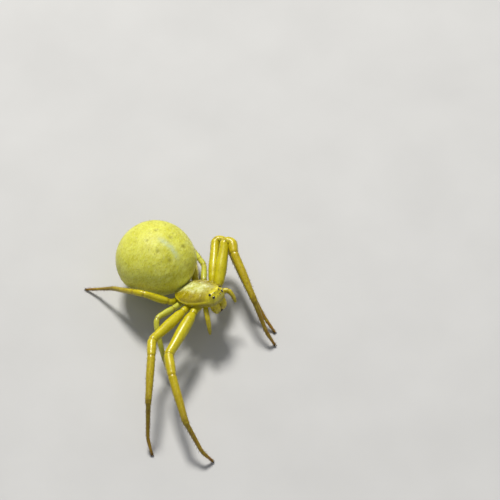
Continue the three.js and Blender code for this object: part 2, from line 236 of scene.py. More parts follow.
class Line:
    """A smooth line through corners, with its length at each corner."""

    def __init__(self, corners, share=BEND_SHARE):
        points = [corners[0]]
        marks = [0]
        for before, corner, after in zip(corners, corners[1:], corners[2:]):
            into_length = np.linalg.norm(corner - before)
            out_length = np.linalg.norm(after - corner)
            turn = (1 - unit(corner - before) @ unit(after - corner)) / 2
            trim = min(BEND + SHARP_BEND * turn, into_length * share, out_length * share)
            start = corner + (before - corner) * trim / into_length
            end = corner + (after - corner) * trim / out_length
            for k in range(BEND_STEPS + 1):
                t = k / BEND_STEPS
                points.append((1 - t) ** 2 * start + 2 * t * (1 - t) * corner + t * t * end)
                if k == BEND_STEPS // 2:
                    marks.append(len(points) - 1)
        points.append(corners[-1])
        marks.append(len(points) - 1)
        self.points = np.array(points)
        gaps = np.linalg.norm(np.diff(self.points, axis=0), axis=1)
        self.lengths = np.concatenate([[0], np.cumsum(gaps)])
        self.corners = [self.lengths[m] for m in marks]
        self.total = self.lengths[-1]

    def at(self, s):
        """Positions at lengths s."""
        return np.stack([np.interp(s, self.lengths, self.points[:, k]) for k in range(3)], axis=-1)

    def along(self, s):
        """Unit directions at lengths s."""
        ahead = self.at(np.minimum(s + TANGENT_REACH, self.total))
        behind = self.at(np.maximum(s - TANGENT_REACH, 0))
        d = ahead - behind
        return d / np.linalg.norm(d, axis=-1, keepdims=True)

    def frames(self, s):
        """Centre, direction and two directions across, carried along without twist."""
        centre = self.at(s)
        along = self.along(s)
        across = np.zeros_like(centre)
        side = np.cross(np.array([0, 0, 1.0]), along[0])
        for i, d in enumerate(along):
            side = side - d * (side @ d)
            side = side / np.linalg.norm(side)
            across[i] = side
        return centre, along, across, np.cross(along, across)

    def frame(self, s):
        """Centre and ways at a single length."""
        return (row[0] for row in self.frames(np.array([s])))


def smooth_steps(profile, s):
    """Eased values between [length, value] stations."""
    at = np.array([p[0] for p in profile])
    value = np.array([p[1] for p in profile])
    i = np.clip(np.searchsorted(at, s) - 1, 0, len(at) - 2)
    t = np.clip((s - at[i]) / (at[i + 1] - at[i]), 0, 1)
    return value[i] + (value[i + 1] - value[i]) * t * t * (3 - 2 * t)


def bell(x, width):
    """1 at 0, falling away on both sides."""
    return np.exp(-(x / width) ** 2)


def soft_step(x, width):
    """From 0 well below 0 to 1 well above it."""
    return 1 / (1 + np.exp(-x / width))


# Meshes

def grid_faces(rings, sides):
    """Quads between rings that close on themselves."""
    faces = []
    for r in range(rings - 1):
        for k in range(sides):
            a, b = r * sides + k, r * sides + (k + 1) % sides
            faces.append((a, b, b + sides, a + sides))
    return faces


def lathe(rings):
    """Vertices and faces of a closed skin over rings; each end closes on a point."""
    count, sides, _ = rings.shape
    vertices = rings.reshape(-1, 3)
    faces = grid_faces(count, sides)
    first = len(vertices)
    vertices = np.vstack([vertices, rings[0].mean(0), rings[-1].mean(0)])
    last_ring = (count - 1) * sides
    for k in range(sides):
        n = (k + 1) % sides
        faces.append((first, n, k))
        faces.append((first + 1, last_ring + k, last_ring + n))
    return vertices, faces


def tube(line, start, end, radius, sides, step, round_end=False):
    """Rings of a tube along part of a line, and their lengths; radius depends on length and angle."""
    count = max(3, int((end - start) / step) + 1)
    s = np.linspace(start, end, count)
    if round_end:
        reach = float(radius(np.array([end]), np.array([0.0]))[0]) * 0.95
        last = end - reach + reach * np.sin(np.linspace(0, 1.5, 9))
        s = np.concatenate([s[s < end - reach], last])
    centre, _, across, other = line.frames(s)
    angle = around(sides)
    r = radius(s[:, None], angle[None, :])
    if round_end:
        from_end = np.clip((s - (end - reach)) / reach, 0, 1)
        r = r * np.sqrt(np.maximum(1 - from_end ** 2, 0.0004))[:, None]
    ways = (np.cos(angle)[None, :, None] * across[:, None, :]
            + np.sin(angle)[None, :, None] * other[:, None, :])
    return centre[:, None, :] + r[..., None] * ways, s


def new_object(name, data):
    obj = bpy.data.objects.new(name, data)
    bpy.context.scene.collection.objects.link(obj)
    return obj


def make_mesh(name, vertices, faces, shift=True):
    """A mesh object from millimetre vertices."""
    mesh = bpy.data.meshes.new(name)
    moved = (np.asarray(vertices) + (SHIFT if shift else 0)) * MM
    mesh.from_pydata(moved.tolist(), [], [tuple(int(i) for i in f) for f in faces])
    mesh.validate()
    mesh.polygons.foreach_set("use_smooth", [True] * len(mesh.polygons))
    mesh.update()
    return new_object(name, mesh)


def outward_faces(obj):
    """Turns a closed mesh's faces outward."""
    bm = bmesh.new()
    bm.from_mesh(obj.data)
    bmesh.ops.recalc_face_normals(bm, faces=bm.faces)
    bm.to_mesh(obj.data)
    bm.free()


def closed_piece(name, vertices, faces, material):
    """A mesh with its faces turned outward and its material on."""
    obj = make_mesh(name, vertices, faces)
    outward_faces(obj)
    obj.data.materials.append(material)
    return obj


# Shapes of the skin: rings of points in the spider's own frame

def leg_corners(leg):
    """Corners from inside the body to the tip of the claws on the floor."""
    forward, out, up = COXA[leg["pair"]]
    corners = [placed((forward, side, up), leg["side"]) for side in (COXA_INNER_SIDE, out)]
    for i, length in enumerate(leg["length"]):
        slope = leg["slope"][i] if i < 4 else -math.degrees(math.asin(corners[-1][2] / length))
        corners.append(corners[-1] + direction(leg["heading"][i], slope) * length)
        if i == 0 and "elbow" in leg:
            reach, heading, rise = leg["elbow"]
            corners.append(corners[-1] + direction(heading, rise) * reach)
    return corners


def leg_line(leg):
    """The line of one leg, with one length for each joint: an elbow has none of its own."""
    line = Line(leg_corners(leg), LEG_BEND_SHARE)
    if "elbow" in leg:
        del line.corners[3]
    return line


def leg_profile(at, g):
    """Girths along a leg, from the lengths at which its corners lie."""
    base, knee, knee_end, ankle, toe, tip = at[1:]
    return [
        (0, g["coxa"]),
        (base + TROCHANTER, g["trochanter"]),
        (base + (knee - base) * 0.22, g["femur"] * 0.92),
        (base + (knee - base) * 0.42, g["femur"]),
        (knee - 0.2, g["knee"]),
        ((knee + knee_end) / 2, g["patella"]),
        (knee_end, g["tibia"]),
        (knee_end + (ankle - knee_end) * 0.3, g["tibia"]),
        (ankle, g["ankle"]),
        (ankle + 0.4, g["metatarsus"]),
        (toe, g["tarsus"]),
        (tip, g["tip"]),
    ]


LEG_LINES = {name: leg_line(leg) for name, leg in LEGS.items()}


def leg_joints(line):
    """Lengths along a leg at which one joint ends and the next begins."""
    base, knee, knee_end, ankle, toe = line.corners[1:6]
    return [base + TROCHANTER, knee, knee_end, ankle, toe]


def leg_radius(name):
    """The skin's radius along one leg, with a groove and a swelling at each joint."""
    line = LEG_LINES[name]
    girth = dict(zip(GIRTH_PLACES, GIRTH[LEGS[name]["pair"]]))
    profile = leg_profile(line.corners, girth)
    joints = leg_joints(line)
    seed = sum(map(ord, name)) % 17

    def radius(s, angle):
        r = smooth_steps(profile, s) / 2
        for joint in joints:
            r = r * (1 - 0.09 * bell(s - joint, 0.05) + 0.03 * bell(np.abs(s - joint) - 0.17, 0.08))
        wave = 0.02 * np.sin(3 * s + seed) * np.cos(angle + 0.7 * s)
        return r * (1 + wave + 0.012 * np.cos(2 * angle + seed))

    return radius


def leg_rings(name):
    line = LEG_LINES[name]
    end = line.total - TIP_INSET
    return tube(line, 0.0, end, leg_radius(name), LEG_SIDES, LEG_STEP, round_end=True)


def prosoma_row(forward):
    """Half width, top and bottom of the prosoma at each place along it."""
    rows = PROSOMA_STATIONS
    i = np.clip(np.searchsorted(rows[:, 0], forward), 1, len(rows) - 1)
    a, b = rows[i - 1], rows[i]
    before = rows[np.maximum(i - 2, 0)]
    after = rows[np.minimum(i + 1, len(rows) - 1)]
    t = ((forward - a[:, 0]) / (b[:, 0] - a[:, 0]))[:, None]
    slope_a = (b - before) / 2
    slope_b = (after - a) / 2
    return ((2 * t ** 3 - 3 * t ** 2 + 1) * a + (t ** 3 - 2 * t ** 2 + t) * slope_a
            + (3 * t ** 2 - 2 * t ** 3) * b + (t ** 3 - t ** 2) * slope_b)


def prosoma_relief(f, s, u):
    """How far the skin stands out from the plain prosoma, forward f, to the side s and up u."""
    top = soft_step(u - 0.12, 0.06)
    out = -0.05 * top * bell(s, 0.1) * bell(f + 0.45, 0.5)
    for place, lean in ((0.75, 0.9), (0.15, 0.5), (-0.45, 0.05)):
        along = f - place - lean * (np.abs(s) - 0.3) * 0.6
        out = out - 0.035 * top * bell(along, 0.1) * bell(np.abs(s) - 0.72, 0.4)
    rim_height = 0.02 + 0.14 * np.clip(f, 0, 2)
    rim = bell(u - rim_height, 0.07) * bell(np.maximum(f - 1.5, 0), 0.3)
    out = out + 0.06 * rim * (1 - top * bell(s, 0.5))
    for (forward, side, up), radius in EYES.values():
        d = np.sqrt((f - forward) ** 2 + (np.abs(s) - side) ** 2 + (u - up) ** 2)
        out = out + 0.62 * radius * bell(d, radius * 1.7)
    eye_ridge = bell(f - 1.78 + 0.25 * s ** 2, 0.13) * bell(s, 0.7) * top
    swells = bell(np.sin(5 * f + 3 * s) * np.cos(4 * s - 2 * f), 0.5) * top
    return out + 0.07 * eye_ridge + 0.02 * swells


def prosoma_rings():
    """Rings from the rear of the prosoma to its face, which ends in a low dome."""
    first, last = PROSOMA_STATIONS[0, 0], PROSOMA_STATIONS[-1, 0]
    share = (1 - np.cos(np.linspace(0, math.pi, PROSOMA_RINGS))) / 2
    forward = first + (last - first) * share
    rows = prosoma_row(forward)
    angle = around(PROSOMA_SIDES)
    c, s = np.cos(angle)[None, :], np.sin(angle)[None, :]
    side = rows[:, 1:2] * np.sign(c) * np.where(s > 0, np.abs(c) ** 0.85, np.abs(c) ** 1.25)
    up = np.where(s > 0, rows[:, 2:3] * np.abs(s) ** 0.8, rows[:, 3:4] * np.abs(s) ** 0.9)
    f = np.repeat(forward[:, None], len(angle), axis=1)
    last_side, last_up = side[-1:], up[-1:]
    middle_up = (rows[-1, 2] + rows[-1, 3]) / 2
    for turn in np.linspace(0, math.pi / 2, 7)[1:]:
        shrink = max(math.cos(turn), 0.02)
        f = np.vstack([f, np.full((1, len(angle)), last + 0.07 * math.sin(turn))])
        side = np.vstack([side, last_side * shrink])
        up = np.vstack([up, middle_up + (last_up - middle_up) * shrink])
    points = body_point(f, side, up)
    normals = ring_normals(points)
    return points + normals * prosoma_relief(f, side, up)[..., None], (f, side, up)


def ring_normals(points):
    """Outward normals of rings of points."""
    along = np.gradient(points, axis=0)
    around = np.roll(points, -1, axis=1) - np.roll(points, 1, axis=1)
    n = np.cross(around, along)
    length = np.linalg.norm(n, axis=-1, keepdims=True)
    n = n / np.maximum(length, 1e-9)
    centre = points.mean(axis=(0, 1))
    outward = ((points - centre) * n).sum()
    return n if outward > 0 else -n


# Marks on the abdomen's back, in millimetres from its middle: round pits, and a pale band over
# the heart that runs forward between them. Each pit is its side, its place along and its width.
SIGILLA = ((-0.68, -0.67, 0.17), (0.92, -0.66, 0.17), (-0.63, -1.68, 0.15), (1.1, -1.75, 0.15),
           (-0.42, 0.55, 0.11), (0.76, 0.55, 0.11))
HEART = dict(rear=-0.1, front=-2.0, width=0.24)


def heart_side(y):
    """How far to the left of the middle the band over the heart runs."""
    return 0.25 - 0.28 * np.clip((-1.3 - y) / 0.7, 0, 1)


def abdomen_marks(x, y, z):
    """How much of the pale band, and of a pit, there is at a place on the abdomen."""
    along = soft_step(HEART["rear"] - y, 0.09) * soft_step(y - HEART["front"], 0.09)
    band = bell(x - heart_side(y), HEART["width"]) * along * (z > 0)
    pit = np.zeros_like(band)
    for side, place, width in SIGILLA:
        pit = np.maximum(pit, bell(np.hypot(x - side, y - place), width) * (z > 0))
    return band, pit


def front_share(y):
    """The skin is more creased towards the front of the abdomen."""
    return 0.55 + 0.75 * soft_step(-0.4 - y, 0.5)


def abdomen_relief(p):
    """Uneven skin of the abdomen: broad swells, wrinkles, grains and pits, for one point."""
    v = Vector(p)
    broad = noise.noise(v * 0.55) * 0.05
    creased = Vector((v[0] * 1.6, v[1] * 4.6, v[2] * 2.6))
    folds = noise.noise(creased) * 0.017 * front_share(p[1])
    grain = noise.noise(v * 9.0) * 0.006 + noise.noise(v * 21.0) * 0.003
    band, pit = abdomen_marks(np.float64(p[0]), np.float64(p[1]), p[2])
    return broad + folds + grain - 0.05 * float(pit) - 0.025 * float(band)


def abdomen_rings():
    """Rings from the front pole to the spinnerets."""
    pole = math.pi / 2 - 0.02
    lat = np.linspace(-pole, pole, ABDOMEN_RINGS)
    lon = around(ABDOMEN_SIDES)
    y = np.sin(lat)[:, None] * np.ones((1, len(lon)))
    flat = np.cos(lat)[:, None]
    swell = 1 + ABDOMEN_REAR_SWELL * y
    x = flat * np.cos(lon)[None, :] * swell * ABDOMEN_HALF[0]
    z = flat * np.sin(lon)[None, :] * swell * ABDOMEN_HALF[2]
    points = np.stack([x, y * ABDOMEN_HALF[1], z], axis=-1)
    normals = ring_normals(points)
    relief = np.array([abdomen_relief(p) for p in points.reshape(-1, 3)]).reshape(y.shape)
    return points + normals * (relief - ABDOMEN_INSET)[..., None] + ABDOMEN_CENTRE


def through(points, girths, sides, step, tip=True):
    """Line, radius, rings and their lengths of a tube through points with a girth at each."""
    line = Line(points)
    profile = list(zip(line.corners, girths))
    joints = line.corners[1:-1]

    def radius(s, angle):
        r = smooth_steps(profile, s) / 2
        for joint in joints:
            r = r * (1 - 0.1 * bell(s - joint, 0.04))
        return r + 0 * angle

    return line, radius, *tube(line, 0, line.total, radius, sides, step, round_end=tip)


def palp_points(palp):
    points = [placed(place, palp["side"]) for place in (PALP_INNER, PALP_BASE)]
    for length, heading, slope in palp["steps"]:
        points.append(points[-1] + direction(heading, slope) * length)
    return points


def jaw_points(side):
    return [placed(p, side) for p in CHELICERA]


def spinneret_points():
    """The points of each spinneret, from inside the abdomen outwards."""
    rear = ABDOMEN_CENTRE + np.array([0, ABDOMEN_HALF[1] * 0.93, -ABDOMEN_HALF[2] * 0.45])
    outward = unit(np.array([0, 0.93, -0.36]))
    for k in range(SPINNERETS["count"]):
        angle = math.pi * (2 * k + 1) / SPINNERETS["count"]
        offset = SPINNERETS["ring"] * np.array([math.cos(angle), 0, math.sin(angle)])
        root = rear + offset * 0.7 - outward * 0.4
        end = rear + offset + outward * (SPINNERETS["length"] - 0.02)
        yield [root, (root + end) / 2, end]


def pedicel_points():
    """The short stalk between prosoma and abdomen."""
    return [body_point(-1.2, 0, -0.15), body_point(-1.7, 0.05, -0.18),
            ABDOMEN_CENTRE - [0.5, 2.6, 0.4]]


# The skin's pieces, and their union

# Kinds of skin, each with a material of its own; the last is that of the jaws and palps.
KIND_LEG, KIND_PROSOMA, KIND_ABDOMEN, KIND_MOUTH = 0, 1, 2, 3


def leg_tones(name, s):
    """Share of the way along a leg, and how near a joint, for each ring."""
    line = LEG_LINES[name]
    joints = leg_joints(line)
    near = np.max([bell(s - joint, 0.05) for joint in joints], axis=0)
    stations = [0.0] + joints + [line.total]
    share = np.interp(s, stations, np.linspace(0, 1, len(stations)))
    return share, near


def with_ends(values, sides, first, last):
    """A value for each ring, for all of its vertices, then for the points that close the ends."""
    return np.append(np.repeat(values, sides), [first, last])


def plain_tubes():
    """Points, girths, sides, kind and share along of the jaws and spinnerets."""
    for side in (1, -1):
        yield jaw_points(side), CHELICERA_GIRTH, CHELICERA_SIDES, KIND_MOUTH, 0.3
    for points in spinneret_points():
        yield points, SPINNERETS["girth"], SPINNERET_SIDES, KIND_ABDOMEN, 1.0


def skin_pieces():
    """Vertices, faces, then kind, share along, joint tone and paleness of each piece of skin."""
    for name, leg in LEGS.items():
        rings, s = leg_rings(name)
        share, near = leg_tones(name, s)
        yield (*lathe(rings), KIND_LEG, with_ends(share, LEG_SIDES, 0, 1),
               with_ends(near, LEG_SIDES, 0, 0), float(leg["pair"] == 3))
    yield (*lathe(prosoma_rings()[0]), KIND_PROSOMA, 0.0, 0.0, 0.0)
    yield (*lathe(abdomen_rings()), KIND_ABDOMEN, 0.0, 0.0, 0.0)
    for palp in PALPS.values():
        line, _, rings, s = through(palp_points(palp), PALP_GIRTH, PALP_SIDES, MOUTH_STEP)
        near = np.max([bell(s - c, 0.035) for c in line.corners[2:-1]], axis=0)
        yield (*lathe(rings), KIND_MOUTH, with_ends(s / line.total, PALP_SIDES, 0, 1),
               with_ends(near, PALP_SIDES, 0, 0), 0.0)
    for points, girths, sides, kind, share in plain_tubes():
        rings = through(points, girths, sides, MOUTH_STEP)[2]
        yield (*lathe(rings), kind, share, 0.0, 0.0)
    rings = through(pedicel_points(), PEDICEL_GIRTH, PEDICEL_SIDES, PEDICEL_STEP, tip=False)[2]
    yield (*lathe(rings), KIND_PROSOMA, 0.0, 0.0, 0.0)


def unite(objects, name):
    """One mesh from many closed ones. The operands are removed."""
    base = objects[0]
    group = bpy.data.collections.new("operands")
    bpy.context.scene.collection.children.link(group)
    for obj in objects[1:]:
        group.objects.link(obj)
    cut = base.modifiers.new("union", "BOOLEAN")
    cut.operation = "UNION"
    cut.operand_type = "COLLECTION"
    cut.collection = group
    cut.solver = "MANIFOLD"
    graph = bpy.context.evaluated_depsgraph_get()
    mesh = bpy.data.meshes.new_from_object(base.evaluated_get(graph))
    skin = new_object(name, mesh)
    for obj in objects:
        bpy.data.objects.remove(obj)
    bpy.data.collections.remove(group)
    return skin


def nearest_places(points, places):
    """For each point, the index of the nearest place."""
    tree = kdtree.KDTree(len(places))
    for i, p in enumerate(places):
        tree.insert(p, i)
    tree.balance()
    return np.array([tree.find(p)[1] for p in points])


def read(items, key, kind, width=1):
    """The numbers that a mesh's vertices, loops or faces hold under a key."""
    numbers = np.zeros(len(items) * width, kind)
    items.foreach_get(key, numbers)
    return numbers


def paint(mesh, points, tones):
    """Writes what the materials need to know: places on the body and the pieces' tones."""
    from_prosoma = points - [0, 0, BODY_HEIGHT]
    band, pit = abdomen_marks(*(points - ABDOMEN_CENTRE).T)
    layers = dict(share=tones[:, 1], joint=tones[:, 2], pale=tones[:, 3], band=band, pit=pit,
                  ahead=from_prosoma @ AHEAD, side=np.abs(from_prosoma @ LEFT),
                  rise=from_prosoma @ UPWARD)
    for label, numbers in layers.items():
        layer = mesh.attributes.new(label, "FLOAT", "POINT")
        layer.data.foreach_set("value", numbers.astype(np.float32))


def set_kinds(mesh, kinds):
    """Gives each face the material of its first vertex's kind of skin."""
    mesh.materials.clear()
    for material in (skin_leg_material(), prosoma_material(), abdomen_material(), mouth_material()):
        mesh.materials.append(material)
    loop_start = read(mesh.polygons, "loop_start", int)
    first_vertex = read(mesh.loops, "vertex_index", int)[loop_start]
    mesh.polygons.foreach_set("material_index", kinds[first_vertex])
    mesh.polygons.foreach_set("use_smooth", [True] * len(mesh.polygons))


def build_skin():
    """One closed skin over the whole body, joined in millimetres and then made life-size."""
    objects = []
    places = []
    tones = []
    for i, (vertices, faces, *values) in enumerate(skin_pieces()):
        obj = make_mesh(f"part_{i}", vertices / MM, faces, shift=False)
        outward_faces(obj)
        objects.append(obj)
        places.append(vertices)
        tones.append(np.stack([np.broadcast_to(value, len(vertices)) for value in values], axis=1))
    objects.sort(key=lambda obj: -len(obj.data.vertices))
    skin = unite(objects, "skin")
    mesh = skin.data
    points = read(mesh.vertices, "co", float, 3).reshape(-1, 3)
    picked = np.vstack(tones)[nearest_places(points, np.vstack(places))]
    paint(mesh, points, picked)
    mesh.vertices.foreach_set("co", ((points + SHIFT) * MM).ravel())
    set_kinds(mesh, picked[:, 0].astype(int))
    mesh.update()
    return skin


# Materials

class Nodes:
    """A short way to write a node tree."""

    def __init__(self, name):
        self.material = bpy.data.materials.new(name)
        self.material.use_nodes = True
        self.tree = self.material.node_tree
        self.shader = self.tree.nodes["Principled BSDF"]
        coordinates = self.add("ShaderNodeTexCoord")
        scale = self.add("ShaderNodeVectorMath", operation="SCALE")
        self.feed(scale, Vector=coordinates.outputs["Object"], Scale=1 / MM)
        self.mm = scale.outputs[0]

    def add(self, kind, **values):
        node = self.tree.nodes.new(kind)
        for key, value in values.items():
            setattr(node, key, value)
        return node

    def link(self, source, target):
        self.tree.links.new(source, target)

    def feed(self, node, **values):
        """Gives inputs of a node a value or another node's output; a _ stands for a space."""
        for key, value in values.items():
            self.feed_one(node.inputs[key.replace("_", " ")], value)

    def feed_one(self, socket, value):
        if isinstance(value, tuple):
            socket.default_value = (*value, 1) if socket.type == "RGBA" else value
        elif isinstance(value, (int, float)):
            socket.default_value = value
        else:
            self.link(value, socket)

    def noise(self, scale, detail, roughness, stretch=None):
        source = self.mm
        if stretch is not None:
            mapping = self.add("ShaderNodeMapping")
            self.feed(mapping, Vector=self.mm, Scale=stretch)
            source = mapping.outputs["Vector"]
        node = self.add("ShaderNodeTexNoise")
        self.feed(node, Scale=scale, Detail=detail, Roughness=roughness, Vector=source)
        return node.outputs["Fac"]

    def spots(self, scale, low, high):
        """Small round spots: 1 at their middle, 0 outside."""
        node = self.add("ShaderNodeTexVoronoi")
        self.feed(node, Scale=scale, Vector=self.mm)
        return self.ramp(node.outputs["Distance"], ((low, 1), (high, 0)))

    def ramp(self, source, stops):
        """Values or colours at places from 0 to 1."""
        node = self.add("ShaderNodeValToRGB")
        elements = node.color_ramp.elements
        for i, (place, value) in enumerate(stops):
            element = elements[i] if i < 2 else elements.new(place)
            element.position = place
            element.color = (*(value if isinstance(value, tuple) else (value,) * 3), 1)
        self.link(source, node.inputs["Fac"])
        return node.outputs["Color"]

    def patches(self, start, end, scale, detail, roughness, stretch=None):
        """Noise with a softer or harder edge, between two (place, value) stops."""
        return self.ramp(self.noise(scale, detail, roughness, stretch), (start, end))

    def mix(self, amount, first, second):
        node = self.add("ShaderNodeMix", data_type="RGBA")
        for index, value in ((0, amount), (6, first), (7, second)):
            self.feed_one(node.inputs[index], value)
        return node.outputs[2]

    def math(self, operation, first, second):
        node = self.add("ShaderNodeMath", operation=operation)
        for index, value in enumerate((first, second)):
            self.feed_one(node.inputs[index], value)
        return node.outputs[0]

    def times(self, first, second):
        return self.math("MULTIPLY", first, second)

    def without(self, amount):
        return self.math("SUBTRACT", 1.0, amount)

    def attribute(self, name):
        return self.add("ShaderNodeAttribute", attribute_name=name).outputs["Fac"]

    def between(self, source, low, high, soft):
        """1 where a value lies between two limits, with soft edges."""
        return self.math("SUBTRACT", self.step(source, low, soft), self.step(source, high, soft))

    def step(self, source, limit, soft):
        """0 below a limit and 1 above it, with a soft edge."""
        node = self.add("ShaderNodeMapRange", interpolation_type="SMOOTHSTEP")
        self.feed(node, From_Min=limit - soft, From_Max=limit + soft, Value=source)
        return node.outputs["Result"]

    def bump(self, height, depth_mm, strength, previous=None):
        node = self.add("ShaderNodeBump")
        self.feed(node, Strength=strength, Distance=depth_mm * MM, Height=height)
        if previous is not None:
            self.feed(node, Normal=previous)
        return node.outputs["Normal"]

    def set(self, **values):
        self.feed(self.shader, **values)

    def flesh(self, weight, scale_mm):
        """Light passes a little way through the skin."""
        self.set(Subsurface_Weight=weight, Subsurface_Radius=(1.0, 0.85, 0.25),
                 Subsurface_Scale=scale_mm * MM)


def skin_leg_material():
    n = Nodes("leg_skin")
    share = n.attribute("share")
    along = n.ramp(share, ((0.0, (0.46, 0.41, 0.004)), (0.25, (0.56, 0.49, 0.004)),
                           (0.42, (0.55, 0.45, 0.003)), (0.56, (0.44, 0.33, 0.003)),
                           (0.7, (0.22, 0.14, 0.003)), (0.86, (0.30, 0.15, 0.003)),
                           (0.96, (0.30, 0.11, 0.003)), (1.0, (0.02, 0.01, 0.003))))
    green = n.mix(n.times(n.attribute("pale"), 0.8), along, (0.46, 0.50, 0.06))
    mottled = n.mix(n.patches((0.4, 0), (0.7, 0.45), 1.7, 4, 0.6), green, (0.40, 0.31, 0.002))
    pale = n.mix(n.patches((0.5, 0), (0.75, 0.3), 6.0, 3, 0.55), mottled, (0.72, 0.70, 0.05))
    streaks = n.mix(n.patches((0.52, 0), (0.72, 0.35), 3.0, 4, 0.6, stretch=(1.0, 1.0, 3.0)),
                    pale, (0.36, 0.34, 0.002))
    dots = n.mix(n.spots(4.4, 0.07, 0.13), streaks, (0.12, 0.05, 0.003))
    joints = n.mix(n.times(n.attribute("joint"), 0.6), dots, (0.20, 0.12, 0.003))
    n.set(Base_Color=joints, Roughness=n.patches((0.3, 0.26), (0.7, 0.42), 14.0, 3, 0.6),
          Coat_Weight=0.15, Coat_Roughness=0.12, IOR=1.42)
    n.flesh(0.25, 0.15)
    fine = n.bump(n.noise(34.0, 3, 0.6), 0.01, 0.5)
    n.set(Normal=n.bump(n.spots(4.4, 0.05, 0.16), 0.012, 0.5, fine))
    return n.material


def prosoma_material():
    """Olive sides; a pale band down the middle of the rear top, partly the prosoma's own pale colour and
    partly a painted highlight; and a bright yellow rim and eye field.
    """
    n = Nodes("prosoma_skin")
    ahead, side, rise = (n.attribute(name) for name in ("ahead", "side", "rise"))
    olive = n.mix(n.patches((0.35, 0), (0.7, 1), 1.6, 4, 0.6), (0.27, 0.21, 0.004), (0.44, 0.37, 0.006))
    # The pale band down the middle of the rear top, with its ragged edge, is partly the prosoma's own
    # pale colour and partly a painted highlight where the top of the thorax catches the light.
    ragged = n.math("ADD", side, n.times(n.math("SUBTRACT", n.noise(2.6, 3, 0.6), 0.5), 0.7))
    middle = n.without(n.step(ragged, 0.62, 0.3))
    pale = n.mix(n.patches((0.35, 0), (0.65, 1), 3.2, 4, 0.6), (0.48, 0.47, 0.05), (0.76, 0.80, 0.44))
    behind = n.math("SUBTRACT", 1.1, n.step(ahead, 0.9, 0.7))
    # Pale band and painted highlight laid over the olive sides.
    pale_band_and_highlight = n.mix(n.times(n.times(middle, 0.85), behind), olive, pale)
    yellow = n.mix(n.patches((0.4, 0), (0.7, 1), 4.0, 3, 0.5), (0.62, 0.53, 0.003), (0.70, 0.64, 0.02))
    eye_field = n.times(n.step(ahead, 1.5, 0.22), n.step(rise, 0.15, 0.2))
    field = n.mix(eye_field, pale_band_and_highlight, yellow)
    rim_at = n.math("SUBTRACT", rise, n.times(n.math("MAXIMUM", ahead, 0.0), 0.14))
    rim = n.between(rim_at, -0.09, 0.09, 0.05)
    rimmed = n.mix(n.times(rim, 0.9), field, yellow)
    under = n.without(n.step(rise, -0.12, 0.06))
    belly = n.mix(under, rimmed, (0.52, 0.45, 0.01))
    speck = n.mix(n.spots(4.6, 0.06, 0.12), belly, (0.08, 0.04, 0.003))
    n.set(Base_Color=speck, Roughness=n.patches((0.3, 0.18), (0.7, 0.36), 11.0, 3, 0.6),
          Coat_Weight=0.4, Coat_Roughness=0.12, IOR=1.5)
    n.flesh(0.2, 0.15)
    fine = n.bump(n.noise(14.0, 4, 0.6), 0.02, 0.6)
    n.set(Normal=n.bump(n.spots(4.6, 0.04, 0.15), 0.016, 0.5, fine))
    return n.material


def abdomen_material():
    n = Nodes("abdomen_skin")
    base = n.mix(n.patches((0.35, 0), (0.7, 1), 0.9, 3, 0.5), (0.57, 0.57, 0.03), (0.69, 0.70, 0.1))
    warm = n.mix(n.patches((0.46, 0), (0.66, 0.6), 2.6, 5, 0.6), base, (0.52, 0.48, 0.004))
    cells = n.mix(n.patches((0.45, 0), (0.75, 0.45), 13.0, 3, 0.6), warm, (0.78, 0.80, 0.22))
    streaks = n.mix(n.patches((0.5, 0), (0.64, 0.75), 3.4, 6, 0.7, stretch=(0.8, 3.6, 1.6)),
                    cells, (0.42, 0.39, 0.004))
    pale = n.mix(n.patches((0.54, 0), (0.7, 0.6), 4.0, 6, 0.7, stretch=(1.0, 3.0, 1.4)),
                 streaks, (0.80, 0.82, 0.36))
    broken = n.times(n.attribute("band"), n.patches((0.32, 0.25), (0.6, 1.0), 7.0, 4, 0.7))
    band = n.mix(n.times(broken, 0.85), pale, (0.50, 0.58, 0.34))
    pits = n.mix(n.times(n.attribute("pit"), 0.7), band, (0.26, 0.23, 0.006))
    freckled = n.times(n.spots(6.5, 0.1, 0.2), n.patches((0.5, 0), (0.62, 0.8), 1.1, 2, 0.5))
    freckles = n.mix(freckled, pits, (0.24, 0.18, 0.004))
    specks = n.mix(n.spots(3.1, 0.05, 0.1), freckles, (0.20, 0.16, 0.004))
    n.set(Base_Color=specks, Roughness=n.patches((0.3, 0.42), (0.7, 0.6), 9.0, 3, 0.6),
          Sheen_Weight=0.1, IOR=1.45)
    n.flesh(0.2, 0.2)
    wrinkles = n.bump(n.noise(4.6, 6, 0.7, stretch=(0.8, 3.2, 1.4)), 0.028, 0.5)
    n.set(Normal=n.bump(n.noise(30.0, 3, 0.6), 0.012, 0.5, wrinkles))
    return n.material


def mouth_material():
    n = Nodes("mouth_skin")
    share = n.attribute("share")
    along = n.ramp(share, ((0.0, (0.62, 0.54, 0.004)), (0.4, (0.58, 0.48, 0.004)),
                           (1.0, (0.34, 0.30, 0.01))))
    mottled = n.mix(n.patches((0.45, 0), (0.75, 0.5), 6.0, 4, 0.6), along, (0.34, 0.26, 0.003))
    joints = n.mix(n.times(n.attribute("joint"), 0.5), mottled, (0.26, 0.17, 0.004))
    n.set(Base_Color=joints, Roughness=n.patches((0.3, 0.22), (0.7, 0.4), 15.0, 3, 0.6),
          Coat_Weight=0.25, Coat_Roughness=0.2, IOR=1.5)
    n.flesh(0.2, 0.15)
    n.set(Normal=n.bump(n.noise(28.0, 3, 0.6), 0.01, 0.5))
    return n.material


def two_tone(name, scale, first, second, **finish):
    """A plain material that wavers between two colours."""
    n = Nodes(name)
    n.set(Base_Color=n.mix(n.patches((0.4, 0), (0.7, 1), scale, 2, 0.5), first, second), **finish)
    return n.material


def hair_material(name, colour, tip):
    return two_tone(name, 5.0, colour, tip, Roughness=0.45, IOR=1.5)


# Eyes and claws

